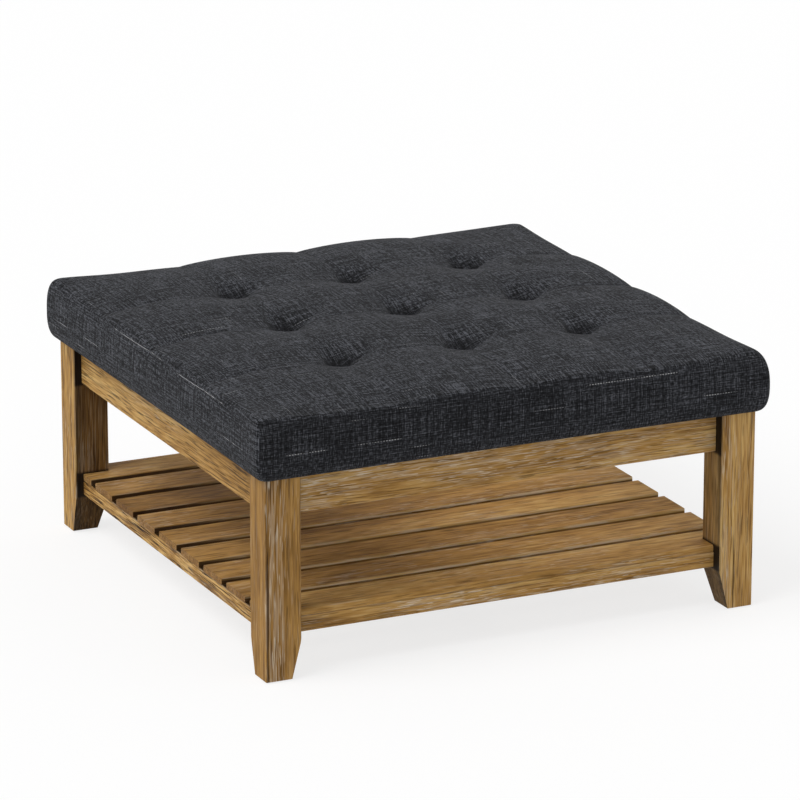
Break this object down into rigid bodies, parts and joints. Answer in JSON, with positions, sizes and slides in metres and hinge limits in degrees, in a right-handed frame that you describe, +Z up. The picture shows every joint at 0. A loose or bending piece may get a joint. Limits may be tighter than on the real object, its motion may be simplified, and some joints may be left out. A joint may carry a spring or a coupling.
{
  "type": "ottoman coffee table",
  "caption": "Square ottoman coffee table: tufted fabric cushion on a wooden frame with tapered legs and an open slatted shelf below.",
  "frame": {"origin": "on the floor, under the middle of the table", "axes": "+X to the right along the front, +Y to the back, +Z up; the front and back aprons are set further in than the side aprons"},
  "size_m": [0.965, 0.965, 0.4829],
  "materials": {
    "limed_pine": "matte",
    "bare_pine": "matte",
    "plywood": "matte",
    "foam": "matte",
    "charcoal_linen": "matte",
    "dust_cloth": "matte",
    "twine": "matte",
    "zinc_steel": "satin",
    "glide_plastic": "matte"
  },
  "bodies": {
    "root": {"leg_front_left": "limed_pine", "leg_front_right": "limed_pine", "leg_back_left": "limed_pine", "leg_back_right": "limed_pine", "apron_front": "limed_pine", "apron_back": "limed_pine", "apron_left": "limed_pine", "apron_right": "limed_pine", "shelf_rail_front": "limed_pine", "shelf_rail_back": "limed_pine", "shelf_rail_left": "limed_pine", "shelf_rail_right": "limed_pine", "shelf_slat_1": "limed_pine", "shelf_slat_2": "limed_pine", "shelf_slat_3": "limed_pine", "shelf_slat_4": "limed_pine", "shelf_slat_5": "limed_pine", "shelf_slat_6": "limed_pine", "shelf_slat_7": "limed_pine", "shelf_slat_8": "limed_pine", "shelf_slat_9": "limed_pine", "seat_brace": "bare_pine", "shelf_centre_rail": "bare_pine", "corner_block_front_left": "bare_pine", "corner_block_front_right": "bare_pine", "corner_block_back_left": "bare_pine", "corner_block_back_right": "bare_pine", "shelf_block_front_left": "bare_pine", "shelf_block_front_right": "bare_pine", "shelf_block_back_left": "bare_pine", "shelf_block_back_right": "bare_pine", "seat_board": "plywood", "foam_block": "foam", "cushion_cover": "charcoal_linen", "dust_cover": "dust_cloth", "tuft_cords": "twine", "hanger_bolts": "zinc_steel", "hanger_washers": "zinc_steel", "hanger_nuts": "zinc_steel", "shelf_bolts": "zinc_steel", "seat_screws": "zinc_steel", "tuft_anchors": "zinc_steel", "foot_glides": "glide_plastic"}
  },
  "joints": []
}
